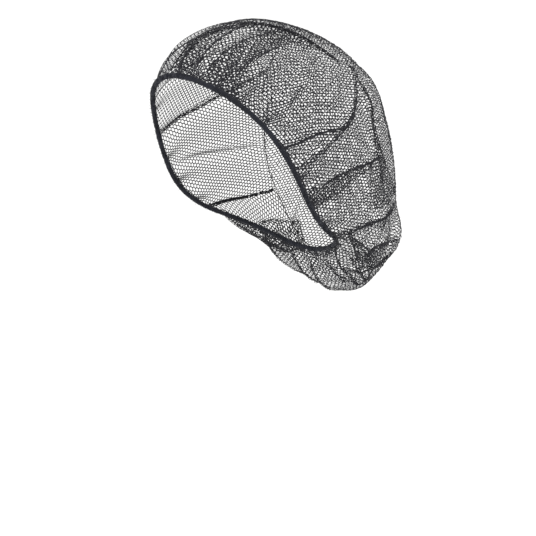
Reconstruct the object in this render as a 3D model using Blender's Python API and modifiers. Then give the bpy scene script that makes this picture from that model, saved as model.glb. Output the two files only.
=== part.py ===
"""Hairnet: a bag of fine net that hangs to the back, and the elastic edge round its opening.

The origin is at the crown, where the net is held. The front is towards -Y and the left, as worn,
is +X. Every length is in metres.
"""

from collections import namedtuple
from math import pi, tau

import bmesh
import bpy
import numpy as np

# Sizes that can be set one by one
NET_WIDTH = 0.152
NET_LENGTH = 0.226
NET_DROP = 0.242
NET_WALL = 0.0012
EDGE_THICKNESS = 0.0044
CLEARANCE = 0.0003
FOLD_HEIGHT = 0.0028
FOLD_WIDTH = 0.0045
GATHER_HEIGHT = 0.0009
GATHER_REACH = 0.022
EDGE_HOLD = 0.008

# How finely the loft is cut
GATHERS = 27
COLUMNS = 4 * GATHERS
ROWS = 23
SECOND_ROW = 0.075
RIM_LEAN = 0.3
EDGE_POINTS = 108
FOLD_STEPS = 33
NUDGE = 0.004

# The bag is a loft of slanted rings, from the elastic edge to the back. Each ring hangs between a
# point on the upper midline and one on the lower midline. Places along Y are shares of NET_LENGTH
# from the crown, drops are shares of NET_DROP below it, and the half width and the swell of the
# sides, which is square to the ring, are shares of NET_WIDTH. At 2 in square a ring is an ellipse.
Section = namedtuple("Section", "top_y top_drop low_y low_drop half_width swell square")
SECTIONS = (
    Section(-0.345, 0.157, 0.310, 0.798, 0.480, -0.132, 1.95),
    Section(-0.314, 0.112, 0.350, 0.868, 0.493, -0.066, 1.95),
    Section(-0.252, 0.062, 0.394, 0.926, 0.500, 0.000, 2.00),
    Section(-0.142, 0.021, 0.450, 0.971, 0.493, 0.026, 2.00),
    Section(0.000, 0.000, 0.518, 0.992, 0.480, 0.013, 2.00),
    Section(0.159, 0.018, 0.580, 0.975, 0.438, -0.007, 2.00),
    Section(0.314, 0.060, 0.628, 0.921, 0.405, -0.026, 2.00),
    Section(0.442, 0.120, 0.655, 0.839, 0.349, -0.046, 2.00),
    Section(0.540, 0.223, 0.659, 0.748, 0.283, -0.046, 2.00),
    Section(0.597, 0.355, 0.646, 0.649, 0.191, -0.033, 2.00),
    Section(0.628, 0.483, 0.637, 0.537, 0.053, 0.000, 2.00),
)
# The swell is widest a little below the middle of a ring, and narrower close to the edge
SWELL_LEAN = 0.17
EDGE_SWELL_POWER = 3.0
EDGE_SWELL_SHARE = 0.2

# Each fold runs through three places on the bag. A place is a share of the way from the edge to
# the back and a turn in degrees: 0 at the front, 90 on the left, 180 at the low back. Height and
# width are shares of FOLD_HEIGHT and FOLD_WIDTH, and a height below 0 is a dent.
Fold = namedtuple("Fold", "start start_turn middle middle_turn end end_turn height width")
FOLDS = (
    # Gathers that run back from the front
    Fold(0.03, -8, 0.14, -3, 0.28, 0, 0.7, 0.9),
    Fold(0.03, 1, 0.17, 3, 0.31, 6, 0.7, 0.9),
    Fold(0.03, 10, 0.18, 12, 0.35, 11, 0.7, 0.9),
    Fold(0.03, 21, 0.23, 20, 0.40, 24, 0.6, 0.9),
    Fold(0.03, 31, 0.20, 31, 0.37, 32, 0.5, 0.9),
    Fold(0.03, -18, 0.20, -15, 0.36, -11, 0.7, 0.9),
    Fold(0.03, -30, 0.22, -27, 0.42, -22, 0.6, 0.9),
    Fold(0.35, 3, 0.43, 21, 0.54, 40, 0.8, 1.0),
    # Left side, from the front down to the low corner
    Fold(0.02, 54, 0.25, 53, 0.46, 37, 0.8, 0.9),
    Fold(0.05, 66, 0.20, 69, 0.36, 70, 0.5, 0.8),
    Fold(0.04, 74, 0.38, 68, 0.58, 40, 1.2, 1.1),
    Fold(0.06, 87, 0.28, 87, 0.52, 84, 0.9, 1.0),
    Fold(0.04, 117, 0.24, 113, 0.50, 107, 1.5, 1.4),
    Fold(0.60, 50, 0.53, 76, 0.50, 104, 0.9, 1.0),
    Fold(0.43, 84, 0.38, 93, 0.33, 108, 0.7, 0.9),
    Fold(0.10, 116, 0.22, 126, 0.36, 137, 0.9, 1.0),
    Fold(0.29, 122, 0.42, 119, 0.57, 126, 0.9, 1.0),
    Fold(0.20, 142, 0.28, 139, 0.37, 138, 0.8, 1.0),
    Fold(0.03, 135, 0.08, 137, 0.18, 139, 0.8, 0.9),
    Fold(0.03, 150, 0.13, 153, 0.32, 158, 0.9, 0.9),
    Fold(0.03, 168, 0.12, 168, 0.23, 170, 0.8, 0.9),
    # Right side, which hangs much like the left
    Fold(0.03, -47, 0.25, -47, 0.46, -36, 0.7, 0.9),
    Fold(0.04, -68, 0.36, -66, 0.58, -46, 1.1, 1.1),
    Fold(0.05, -84, 0.26, -88, 0.52, -86, 0.9, 1.0),
    Fold(0.04, -113, 0.24, -111, 0.52, -107, 1.5, 1.4),
    Fold(0.62, -58, 0.55, -82, 0.52, -104, 0.9, 1.0),
    Fold(0.06, -122, 0.20, -130, 0.38, -139, 1.0, 1.0),
    Fold(0.30, -124, 0.43, -121, 0.58, -127, 0.9, 1.0),
    Fold(0.03, -146, 0.14, -150, 0.34, -157, 0.9, 0.9),
    Fold(0.03, -165, 0.14, -167, 0.28, -172, 0.8, 0.9),
    # The loose back of the bag
    Fold(0.03, 180, 0.18, 181, 0.36, 179, 0.9, 1.0),
    Fold(0.60, 178, 0.74, 160, 0.88, 110, 0.8, 1.2),
    Fold(0.62, -20, 0.76, -44, 0.88, -100, 0.8, 1.2),
    # Corners where the bag sags out, and the flats between them
    Fold(0.54, 122, 0.60, 128, 0.66, 135, 2.6, 4.4),
    Fold(0.54, -123, 0.60, -129, 0.66, -136, 2.4, 4.4),
    Fold(0.55, 70, 0.62, 56, 0.68, 36, 1.6, 4.4),
    Fold(0.55, -70, 0.62, -56, 0.68, -36, 1.6, 4.4),
    Fold(0.36, 146, 0.43, 144, 0.50, 143, -1.5, 3.4),
    Fold(0.36, -147, 0.43, -145, 0.50, -144, -1.5, 3.4),
)

# Colours and finish of the plain materials
NET_COLOUR = (0.012, 0.012, 0.015, 1.0)
NET_ROUGHNESS = 0.55
EDGE_COLOUR = (0.016, 0.016, 0.022, 1.0)
EDGE_ROUGHNESS = 0.85


def clear_scene():
    for thing in list(bpy.data.objects):
        bpy.data.objects.remove(thing, do_unlink=True)


def plain_material(name, colour, roughness):
    material = bpy.data.materials.new(name)
    material.use_nodes = True
    shader = material.node_tree.nodes["Principled BSDF"]
    shader.inputs["Base Color"].default_value = colour
    shader.inputs["Roughness"].default_value = roughness
    shader.inputs["Metallic"].default_value = 0.0
    return material


def section_at(share):
    """The ring at a share of the way to the back, on a smooth curve through the table's rows."""
    table = np.array(SECTIONS)
    table = np.vstack([2 * table[0] - table[1], table, 2 * table[-1] - table[-2]])
    last = len(SECTIONS) - 1
    place = np.clip(np.asarray(share, float), 0, 1) * last
    first = np.minimum(place.astype(int), last - 1)
    step = (place - first)[..., None]
    before, here, after, beyond = (table[first + offset] for offset in range(4))
    rows = 0.5 * (
        2 * here
        + (after - before) * step
        + (2 * before - 5 * here + 4 * after - beyond) * step**2
        + (3 * here - before - 3 * after + beyond) * step**3
    )
    return Section(*np.moveaxis(rows, -1, 0))


def bare_surface(share, turn):
    """Points of the bag without its folds. share and turn are arrays of one shape, turn in radians."""
    share, turn = np.broadcast_arrays(share, turn)
    ring = section_at(share)
    top = np.stack([ring.top_y * NET_LENGTH, -ring.top_drop * NET_DROP], -1)
    low = np.stack([ring.low_y * NET_LENGTH, -ring.low_drop * NET_DROP], -1)
    middle, reach = (top + low) / 2, (top - low) / 2
    square_to = np.stack([-reach[..., 1], reach[..., 0]], -1)
    square_to *= (np.sign(square_to[..., 0]) / np.linalg.norm(square_to, axis=-1))[..., None]
    roundness = 2 / ring.square
    along = np.sign(np.cos(turn)) * np.abs(np.cos(turn)) ** roundness
    across = np.sign(np.sin(turn)) * np.abs(np.sin(turn)) ** roundness
    leaning = np.cos(turn) + SWELL_LEAN * np.sin(turn) ** 2
    near_edge = np.clip(1 - share / EDGE_SWELL_SHARE, 0, 1)
    power = 1 + (EDGE_SWELL_POWER - 1) * near_edge
    swelling = np.clip(1 - leaning**2, 0, 1) ** power * ring.swell * NET_WIDTH
    profile = middle + reach * along[..., None] + square_to * swelling[..., None]
    return np.stack([across * ring.half_width * NET_WIDTH, profile[..., 0], profile[..., 1]], -1)


def outward(share, turn):
    """Unit vectors square to the bare surface, pointing out of the bag."""
    towards_back = bare_surface(share + NUDGE, turn) - bare_surface(share - NUDGE, turn)
    round_bag = bare_surface(share, turn + NUDGE) - bare_surface(share, turn - NUDGE)
    square_to = np.cross(round_bag, towards_back)
    return square_to / np.linalg.norm(square_to, axis=-1, keepdims=True)


def fold_lift(points):
    """How far each point of the bag stands out in its folds."""
    lift = np.zeros(points.shape[:-1])
    step = np.linspace(0, 1, FOLD_STEPS)
    weights = np.stack([(1 - step) * (1 - 2 * step), 4 * step * (1 - step), step * (2 * step - 1)])
    for fold in FOLDS:
        shares = np.array([fold.start, fold.middle, fold.end]) @ weights
        turns = np.radians([fold.start_turn, fold.middle_turn, fold.end_turn]) @ weights
        line = bare_surface(shares, turns)
        away = np.linalg.norm(points[..., None, :] - line, axis=-1)
        nearest = away.argmin(-1)
        fading = np.sqrt(np.sin(pi * step[nearest]).clip(0, 1))
        closeness = np.exp(-((away.min(-1) / (fold.width * FOLD_WIDTH)) ** 2))
        lift += fold.height * FOLD_HEIGHT * fading * closeness
    return lift


def net_lift(share, turn, points):
    """The folds and the small gathers at the elastic, which holds the net flat close to it."""
    from_edge = np.linalg.norm(points - bare_surface(np.zeros_like(share), turn), axis=-1)
    gathers = GATHER_HEIGHT * np.sin(GATHERS * turn) * np.exp(-from_edge / GATHER_REACH)
    return (fold_lift(points) + gathers) * (1 - np.exp(-((from_edge / EDGE_HOLD) ** 2)))


def off_edge(edge, above):
    """Unit vectors from the edge up the net, square to the edge."""
    direction = above - edge
    runs = np.roll(edge, -1, 0) - np.roll(edge, 1, 0)
    runs /= np.linalg.norm(runs, axis=-1, keepdims=True)
    direction -= (direction * runs).sum(-1, keepdims=True) * runs
    return direction / np.linalg.norm(direction, axis=-1, keepdims=True)


def net_points():
    """The bag's outer surface, row by row from the edge to the back.

    The wall's rim leans where folds start, so it stands off the edge by a share of the wall too.
    """
    turn = np.linspace(0, tau, COLUMNS, endpoint=False)
    shares = np.append(0, np.linspace(SECOND_ROW, 1, ROWS - 1))
    share, turn = np.meshgrid(shares, turn, indexing="ij")
    points = bare_surface(share, turn)
    stand_off = EDGE_THICKNESS / 2 + CLEARANCE + RIM_LEAN * NET_WALL
    points[0] += off_edge(points[0], points[1]) * stand_off
    return points + outward(share, turn) * net_lift(share, turn, points)[..., None]


def make_net(collection):
    """The bag: a loft through its rings, closed at the back and given its wall by Solidify."""
    points = net_points()
    mesh = bpy.data.meshes.new("net_bag")
    shell = bmesh.new()
    rings = [[shell.verts.new(point) for point in row] for row in points]
    for ring, following in zip(rings, rings[1:]):
        for column in range(COLUMNS):
            beside = (column + 1) % COLUMNS
            shell.faces.new((ring[column], ring[beside], following[beside], following[column]))
    pole = shell.verts.new(points[-1].mean(0))
    for column in range(COLUMNS):
        shell.faces.new((rings[-1][column], rings[-1][(column + 1) % COLUMNS], pole))
    shell.to_mesh(mesh)
    shell.free()
    mesh.shade_smooth()
    net = bpy.data.objects.new("net_bag", mesh)
    net.data.materials.append(plain_material("black_net", NET_COLOUR, NET_ROUGHNESS))
    wall = net.modifiers.new("Wall", "SOLIDIFY")
    wall.thickness = NET_WALL
    wall.offset = -1.0
    collection.objects.link(net)
    return net


def make_edge(collection):
    """The elastic edge: a closed cord along the first ring of the bag."""
    path = bpy.data.curves.new("elastic_edge", "CURVE")
    path.dimensions = "3D"
    path.bevel_depth = EDGE_THICKNESS / 2
    path.bevel_resolution = 2
    spline = path.splines.new("POLY")
    spline.points.add(EDGE_POINTS - 1)
    spline.use_cyclic_u = True
    turn = np.linspace(0, tau, EDGE_POINTS, endpoint=False)
    for point, place in zip(spline.points, bare_surface(np.zeros_like(turn), turn)):
        point.co = (*place, 1.0)
    edge = bpy.data.objects.new("elastic_edge", path)
    edge.data.materials.append(plain_material("black_elastic", EDGE_COLOUR, EDGE_ROUGHNESS))
    collection.objects.link(edge)
    return edge


def main():
    clear_scene()
    collection = bpy.data.collections.new("hairnet")
    bpy.context.scene.collection.children.link(collection)
    make_net(collection)
    make_edge(collection)


main()
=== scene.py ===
"""Hairnet in its worn form: knotted black net in folds, its pleats, and the covered elastic edge.

The part's frame is loaded first. The origin is at the crown, the front is towards -Y, the left as
worn is +X, and every length is in metres. Each group of pieces is made by one operator, and the main
function at the end runs them in order.
"""

from collections import namedtuple
from math import cos, hypot, pi, radians, sin, tau

import bmesh
import bpy
import numpy as np
from bpy.props import FloatProperty, FloatVectorProperty, IntProperty, PointerProperty
from mathutils import Matrix, Vector
from mathutils.bvhtree import BVHTree


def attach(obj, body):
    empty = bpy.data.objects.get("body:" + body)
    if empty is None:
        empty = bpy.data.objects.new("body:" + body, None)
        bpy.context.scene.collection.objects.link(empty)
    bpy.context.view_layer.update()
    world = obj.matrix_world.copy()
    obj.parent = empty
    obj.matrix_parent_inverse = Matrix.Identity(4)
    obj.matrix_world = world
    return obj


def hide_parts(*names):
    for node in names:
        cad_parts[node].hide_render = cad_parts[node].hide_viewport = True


bl_info = {
    "name": "Hairnet",
    "version": (1, 0, 0),
    "blender": (4, 5, 0),
    "location": "View3D > Sidebar > Hairnet",
    "description": "Makes a worn hairnet: the net, its creases and pleats, and the elastic edge",
    "category": "Add Mesh",
}

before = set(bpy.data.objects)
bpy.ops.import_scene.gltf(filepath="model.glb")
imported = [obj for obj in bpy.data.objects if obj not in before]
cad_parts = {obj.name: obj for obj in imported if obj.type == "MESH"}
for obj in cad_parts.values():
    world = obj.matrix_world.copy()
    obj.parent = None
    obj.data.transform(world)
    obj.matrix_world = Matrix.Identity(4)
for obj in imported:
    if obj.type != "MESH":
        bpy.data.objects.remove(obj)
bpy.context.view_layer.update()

# The bag's form. Sizes and sections are the same as those of the solids in the frame. So are the
# folds, apart from those on the left and the crease over the front, which lie up to 10 mm off.
NET_WIDTH = 0.152
NET_LENGTH = 0.226
NET_DROP = 0.242
FOLD_HEIGHT = 0.0028
FOLD_WIDTH = 0.0045
EDGE_HOLD = 0.008
GATHERS = 27
GATHER_REACH = 0.022
EDGE_POINTS = 108

# A section is a ring round the bag, and the rows are even steps from the edge to the back. Its top and
# low ends are shares of NET_LENGTH and NET_DROP, its half width and swell shares of NET_WIDTH.
Section = namedtuple("Section", "top_y top_drop low_y low_drop half_width swell square")
SECTIONS = (
    Section(-0.345, 0.157, 0.310, 0.798, 0.480, -0.132, 1.95),
    Section(-0.314, 0.112, 0.350, 0.868, 0.493, -0.066, 1.95),
    Section(-0.252, 0.062, 0.394, 0.926, 0.500, 0.000, 2.00),
    Section(-0.142, 0.021, 0.450, 0.971, 0.493, 0.026, 2.00),
    Section(0.000, 0.000, 0.518, 0.992, 0.480, 0.013, 2.00),
    Section(0.159, 0.018, 0.580, 0.975, 0.438, -0.007, 2.00),
    Section(0.314, 0.060, 0.628, 0.921, 0.405, -0.026, 2.00),
    Section(0.442, 0.120, 0.655, 0.839, 0.349, -0.046, 2.00),
    Section(0.540, 0.223, 0.659, 0.748, 0.283, -0.046, 2.00),
    Section(0.597, 0.355, 0.646, 0.649, 0.191, -0.033, 2.00),
    Section(0.628, 0.483, 0.637, 0.537, 0.053, 0.000, 2.00),
)
SWELL_LEAN = 0.17
EDGE_SWELL_POWER = 3.0
EDGE_SWELL_SHARE = 0.2
# How far past the last ring's share the bag has closed
BACK_CLOSING = 0.05
# A small step in share and turn, for slopes
NUDGE = 0.004

# A fold runs through three places, each a share of the way from the edge to the back and a turn in
# degrees: 0 at the front, 90 on the left, 180 at the low back. Height and width are shares of
# FOLD_HEIGHT and FOLD_WIDTH, pull is how strongly threads bunch in the fold, and bundle is the
# width in metres of the doubled net that lies along it.
Fold = namedtuple(
    "Fold", "start start_turn middle middle_turn end end_turn height width pull bundle", defaults=(0.0,)
)
FOLDS = (
    # Gathers that run back from the front, and the crease that ends them
    Fold(0.03, -8, 0.14, -3, 0.28, 0, 0.7, 0.9, 0.5, 0.0016),
    Fold(0.03, 1, 0.17, 3, 0.31, 6, 0.7, 0.9, 0.55, 0.0018),
    Fold(0.03, 10, 0.18, 12, 0.35, 11, 0.7, 0.9, 0.55, 0.0018),
    Fold(0.03, 21, 0.23, 20, 0.40, 24, 0.6, 0.9, 0.55),
    Fold(0.03, 31, 0.20, 31, 0.37, 32, 0.5, 0.9, 0.55),
    Fold(0.03, -18, 0.20, -15, 0.36, -11, 0.7, 0.9, 0.5),
    Fold(0.03, -30, 0.22, -27, 0.42, -22, 0.6, 0.9, 0.5),
    Fold(0.33, 6, 0.42, 26, 0.52, 42, 0.8, 1.0, 0.7, 0.003),
    # Left side, from the front down to the low corner
    Fold(0.02, 54, 0.24, 53, 0.44, 38, 0.8, 0.9, 0.5),
    Fold(0.03, 65, 0.19, 69, 0.35, 70, 0.5, 0.8, 0.45, 0.0012),
    Fold(0.03, 75, 0.375, 69, 0.57, 40, 1.2, 1.1, 0.45, 0.0032),
    Fold(0.04, 86.5, 0.27, 86.5, 0.50, 84, 0.9, 1.0, 0.45, 0.0018),
    Fold(0.03, 116, 0.23, 111, 0.57, 107, 1.5, 1.4, 0.55, 0.0055),
    Fold(0.57, 52, 0.50, 76, 0.455, 103, 0.9, 1.0, 0.6),
    Fold(0.588, 40, 0.532, 65, 0.542, 90, 0.3, 0.9, 0.5, 0.0014),
    Fold(0.41, 84, 0.35, 95, 0.31, 107, 0.7, 0.9, 0.5),
    Fold(0.13, 114, 0.23, 122, 0.38, 133, 0.9, 1.0, 0.5, 0.0012),
    Fold(0.26, 129, 0.38, 121, 0.57, 126, 0.9, 1.0, 0.6),
    Fold(0.11, 149, 0.32, 137, 0.57, 130, 0.8, 1.0, 0.5, 0.0012),
    Fold(0.13, 112, 0.165, 126, 0.25, 138, 0.8, 0.9, 0.5, 0.0014),
    Fold(0.02, 151, 0.13, 148, 0.34, 156, 0.9, 0.9, 0.55, 0.0026),
    Fold(0.03, 169, 0.11, 160, 0.24, 161, 0.8, 0.9, 0.55, 0.002),
    Fold(0.16, 136, 0.27, 143, 0.40, 151, 0.6, 0.9, 0.5, 0.002),
    # Right side, which hangs much like the left
    Fold(0.03, -47, 0.25, -47, 0.46, -36, 0.7, 0.9, 0.6),
    Fold(0.04, -68, 0.36, -66, 0.58, -46, 1.1, 1.1, 0.5, 0.0018),
    Fold(0.05, -84, 0.26, -88, 0.52, -86, 0.9, 1.0, 0.6),
    Fold(0.04, -113, 0.24, -111, 0.52, -107, 1.5, 1.4, 0.6, 0.0042),
    Fold(0.62, -58, 0.55, -82, 0.52, -104, 0.9, 1.0, 0.6),
    Fold(0.06, -122, 0.20, -130, 0.38, -139, 1.0, 1.0, 0.6),
    Fold(0.30, -124, 0.43, -121, 0.58, -127, 0.9, 1.0, 0.6),
    Fold(0.03, -146, 0.14, -150, 0.34, -157, 0.9, 0.9, 0.6, 0.002),
    Fold(0.03, -165, 0.14, -167, 0.28, -172, 0.8, 0.9, 0.6, 0.002),
    # The loose back of the bag
    Fold(0.03, 180, 0.18, 181, 0.36, 179, 0.9, 1.0, 0.6, 0.002),
    Fold(0.60, 178, 0.74, 160, 0.88, 110, 0.8, 1.2, 0.5),
    Fold(0.62, -20, 0.76, -44, 0.88, -100, 0.8, 1.2, 0.5),
    # Corners where the bag sags out, and the flats between them
    Fold(0.54, 122, 0.60, 128, 0.66, 135, 2.6, 4.4, 0.0),
    Fold(0.54, -123, 0.60, -129, 0.66, -136, 2.4, 4.4, 0.0),
    Fold(0.55, 70, 0.62, 56, 0.68, 36, 1.6, 4.4, 0.0),
    Fold(0.55, -70, 0.62, -56, 0.68, -36, 1.6, 4.4, 0.0),
    Fold(0.36, 146, 0.43, 144, 0.50, 143, -1.5, 3.4, 0.0),
    Fold(0.36, -147, 0.43, -145, 0.50, -144, -1.5, 3.4, 0.0),
)
FOLD_STEPS = 33
# The points near a fold are first picked out by every fourth of its places
SPOT_STEP = 4
# Nothing is lifted or drawn in past this many of a fold's widths or reaches
BELL_REACH = 3

# The net is laid on in fields that meet at its main creases. A crease is given as turns in degrees
# at even steps from the elastic to the ring where the back field starts.
UPPER_LEFT = (75, 74, 71.5, 67, 47)
LOWER_LEFT = (117, 112, 110.5, 108.5, 107)
LOWER_RIGHT = (-114, -112, -111, -109, -107)
UPPER_RIGHT = (-69, -68, -66, -60, -50)
# Where the back field starts: the share of the way to the back, at even steps of turn from 0
BACK_RING = (0.56, 0.575, 0.545, 0.505, 0.52, 0.50, 0.52, 0.51, 0.55, 0.575)

Field = namedtuple("Field", "name from_turns to_turns lattice_turn")
FIELDS = (
    Field("net_crown", UPPER_RIGHT, UPPER_LEFT, 54),
    Field("net_left", UPPER_LEFT, LOWER_LEFT, 82),
    Field("net_nape", LOWER_LEFT, tuple(turn + 360 for turn in LOWER_RIGHT), -32),
    Field("net_right", LOWER_RIGHT, UPPER_RIGHT, -82),
)
FIELD_ROWS = 29
FIELD_COLUMNS = 33
BACK_ROWS = 17
BACK_COLUMNS = 72
BACK_LATTICE_TURN = -20
# The back field stops just short of closing, at a hole far smaller than the net's openings
BACK_CLOSED = 0.995
FLATTEN_STEPS = 30
# How far cells are laid out, against the field's farthest point: past a square's corners
LATTICE_REACH = 1.5
# A cell is on a field when it is no farther than this from it
ON_FIELD = 1e-6
# The net goes from tight at the front to slack, between these shares of the way to the back
TIGHT_TO = 0.2
LOOSE_FROM = 0.55

# A pleat or a doubled flat lies between two borders given as places on the bag, so many layers under
# the surface. Fullness is how much net is gathered into its length, against that length.
Pleat = namedtuple("Pleat", "piece near far lattice_turn layer fullness", defaults=(1, 1.0))
PLEATS = (
    Pleat(
        "pleats_forehead",
        ((0.0, -6), (0.15, -4), (0.33, 0)),
        ((0.0, 11), (0.15, 8), (0.33, 6)),
        14,
    ),
    Pleat(
        "pleats_forehead",
        ((0.0, 17), (0.16, 19), (0.40, 22)),
        ((0.0, 37), (0.16, 34), (0.40, 30)),
        10,
    ),
    Pleat(
        "pleats_forehead",
        ((0.30, -6), (0.32, 10), (0.36, 24), (0.42, 34)),
        ((0.37, -8), (0.39, 10), (0.45, 27), (0.53, 39)),
        20,
    ),
    Pleat(
        "pleats_left",
        ((0.54, 62), (0.52, 70), (0.47, 81), (0.43, 87), (0.405, 92.5), (0.37, 104)),
        ((0.545, 64), (0.535, 74), (0.545, 84), (0.57, 90.5), (0.605, 97), (0.65, 105)),
        25,
    ),
    Pleat(
        "pleats_left",
        ((0.01, 87), (0.26, 87.5), (0.46, 85)),
        ((0.01, 98), (0.19, 94.5), (0.43, 87)),
        12,
    ),
    Pleat(
        "pleats_left",
        ((0.13, 112.5), (0.155, 121), (0.173, 129.5), (0.208, 134.5), (0.268, 137.5)),
        ((0.14, 112), (0.175, 118), (0.235, 122.5), (0.30, 127), (0.36, 135)),
        -12,
    ),
    Pleat(
        "pleats_left",
        ((0.27, 137.5), (0.36, 136.5), (0.44, 134), (0.57, 129)),
        ((0.26, 129), (0.283, 124.5), (0.378, 121), (0.57, 126)),
        30,
    ),
    Pleat(
        "pleats_right",
        ((0.05, -116), (0.07, -130), (0.11, -138), (0.18, -141)),
        ((0.13, -116), (0.21, -126), (0.28, -132), (0.37, -139)),
        12,
    ),
    Pleat(
        "pleats_right",
        ((0.22, -143), (0.37, -140), (0.50, -138)),
        ((0.30, -123), (0.42, -121), (0.57, -127)),
        -30,
    ),
    *(
        Pleat("net_heading", ((0, start), (0, end)), ((depth, start), (depth, end)), 5, 0.4, fullness)
        for start, end, depth, fullness in (
            (-60, 0, 0.016, 1.3),
            (0, 60, 0.016, 1.3),
            (60, 122, 0.03, 1.7),
            (122, 180, 0.035, 1.7),
            (180, 238, 0.035, 1.7),
            (-122, -60, 0.03, 1.8),
        )
    ),
)
PLEAT_ROWS = 21
PLEAT_COLUMNS = 17
BUNDLE_COLUMNS = 5
# A bundle's width at its ends, against that in the middle
BUNDLE_END = 0.3
# Each bundle's lattice is turned this much more than the last one's, in radians
BUNDLE_TURN = 0.5
BUNDLE_SEED = 0
# A thread comes out at this share of the thickness that the modifier is given
WIRE_SHARE = 0.66
# Width of one fold to and fro in a bundle, in metres
PLY_PITCH = 0.0065
# A piece of several strips is measured with them laid end to end, in this many rows
STRIP_ROWS = 3

# The elastic's core, the turns of thread on it and its loose fibres. Shares are of its radius.
CORE_POINTS = 620
CORE_SIDES = 14
CORE_SHARE = 0.9
LUMP_SCALE = 260.0
LUMP_SHARE = 1.1
LOOP_POINTS = 12
LOOP_SHARE = 0.93
THREAD_SIDES = 4
FIBRE_STEPS = 3
FIBRE_SIDES = 3
# A fibre of length 1
FIBRE_BEND = {"Start": (0.3, 0.0, 0.0), "Middle": (0.9, 0.1, 0.15), "End": (1.0, 0.55, 0.4)}
# The least and the most that chance gives: a lean in radians, and a size against the first one's
LOOP_LEAN = ((-0.5, -0.5, 0.0), (0.5, 0.5, 3.0))
LOOP_SIZE = ((0.92, 0.92, 1.0), (1.06, 1.06, 1.0))
FIBRE_LEAN = ((-0.4, -0.4, 0.0), (0.4, 0.4, tau))
FIBRE_SIZE = ((0.55, 0.6, 0.6), (1.0, 1.2, 1.2))
ELASTIC_SEED = 5

# How much a thread's roughness goes up and down, and the height of its twist in metres
GLOSS_SPREAD = 0.08
TWIST_HEIGHT = 0.0002

# The floor runs away from the camera, bends up in a wide curve and goes on as the backdrop
STAGE_REACH = 3.0
STAGE_BEND_AT = 0.6
STAGE_BEND = 0.8
BEND_STEPS = 25
STAGE_CENTRE = (0.0, 0.03, -0.12)
CAMERA_PLACE = (0.5797, -0.6117, 0.030)
CAMERA_TURN = 42.57
CAMERA_TILT = -15.09
CAMERA_LENS = 72.2

# A lamp's power is the setting of that name, and its size is in metres
Lamp = namedtuple("Lamp", "name place power size")
LAMPS = (
    Lamp("Key light", (0.9, -0.5, 1.1), "key_light", 1.2),
    Lamp("Fill light", (-0.4, -1.2, 0.5), "fill_light", 1.0),
)


def blend_rows(rows, place, cyclic=False):
    """A value on a straight run through evenly spaced rows, at places from 0 to 1."""
    rows = np.append(rows, rows[0]) if cyclic else np.asarray(rows, float)
    return np.interp(place, np.linspace(0, 1, len(rows)), rows)


def section_at(share):
    """The ring at a share of the way to the back, on a smooth curve through the table's rows."""
    table = np.array(SECTIONS)
    table = np.vstack([2 * table[0] - table[1], table, 2 * table[-1] - table[-2]])
    last = len(SECTIONS) - 1
    place = np.clip(np.asarray(share, float), 0, 1) * last
    first = np.minimum(place.astype(int), last - 1)
    step = (place - first)[..., None]
    before, here, after, beyond = (table[first + offset] for offset in range(4))
    rows = 0.5 * (
        2 * here
        + (after - before) * step
        + (2 * before - 5 * here + 4 * after - beyond) * step**2
        + (3 * here - before - 3 * after + beyond) * step**3
    )
    return Section(*np.moveaxis(rows, -1, 0))


def bare_surface(share, turn):
    """Points of the bag without its folds. share and turn are arrays of one shape, turn in radians."""
    share, turn = np.broadcast_arrays(share, turn)
    ring = section_at(share)
    top = np.stack([ring.top_y * NET_LENGTH, -ring.top_drop * NET_DROP], -1)
    low = np.stack([ring.low_y * NET_LENGTH, -ring.low_drop * NET_DROP], -1)
    middle, reach = (top + low) / 2, (top - low) / 2
    square_to = np.stack([-reach[..., 1], reach[..., 0]], -1)
    square_to *= (np.sign(square_to[..., 0]) / np.linalg.norm(square_to, axis=-1))[..., None]
    roundness = 2 / ring.square
    along = np.sign(np.cos(turn)) * np.abs(np.cos(turn)) ** roundness
    across = np.sign(np.sin(turn)) * np.abs(np.sin(turn)) ** roundness
    leaning = np.cos(turn) + SWELL_LEAN * np.sin(turn) ** 2
    near_edge = np.clip(1 - share / EDGE_SWELL_SHARE, 0, 1)
    power = 1 + (EDGE_SWELL_POWER - 1) * near_edge
    swelling = np.clip(1 - leaning**2, 0, 1) ** power * ring.swell * NET_WIDTH
    profile = middle + reach * along[..., None] + square_to * swelling[..., None]
    points = np.stack([across * ring.half_width * NET_WIDTH, profile[..., 0], profile[..., 1]], -1)
    # Past the last ring the bag closes flat, on its middle
    closing = np.clip((share - 1) / BACK_CLOSING, 0, 1)[..., None]
    centre = np.stack([0 * share, middle[..., 0], middle[..., 1]], -1)
    return points + (centre - points) * closing


def outward(share, turn):
    """Unit vectors square to the bare surface, pointing out of the bag."""
    share = np.minimum(share, 1 - NUDGE)
    towards_back = bare_surface(share + NUDGE, turn) - bare_surface(share - NUDGE, turn)
    round_bag = bare_surface(share, turn + NUDGE) - bare_surface(share, turn - NUDGE)
    square_to = np.cross(round_bag, towards_back)
    return square_to / np.linalg.norm(square_to, axis=-1, keepdims=True)


def fold_line(fold):
    """Shares and turns, in radians, of the places along a fold, on a curve through its three."""
    step = np.linspace(0, 1, FOLD_STEPS)
    weights = np.stack([(1 - step) * (1 - 2 * step), 4 * step * (1 - step), step * (2 * step - 1)])
    shares = np.array([fold.start, fold.middle, fold.end]) @ weights
    turns = np.radians([fold.start_turn, fold.middle_turn, fold.end_turn]) @ weights
    return shares, turns


def fold_lines(folds):
    """Each fold with its line of points on the bare bag."""
    return [(fold, bare_surface(*fold_line(fold))) for fold in folds]


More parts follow.
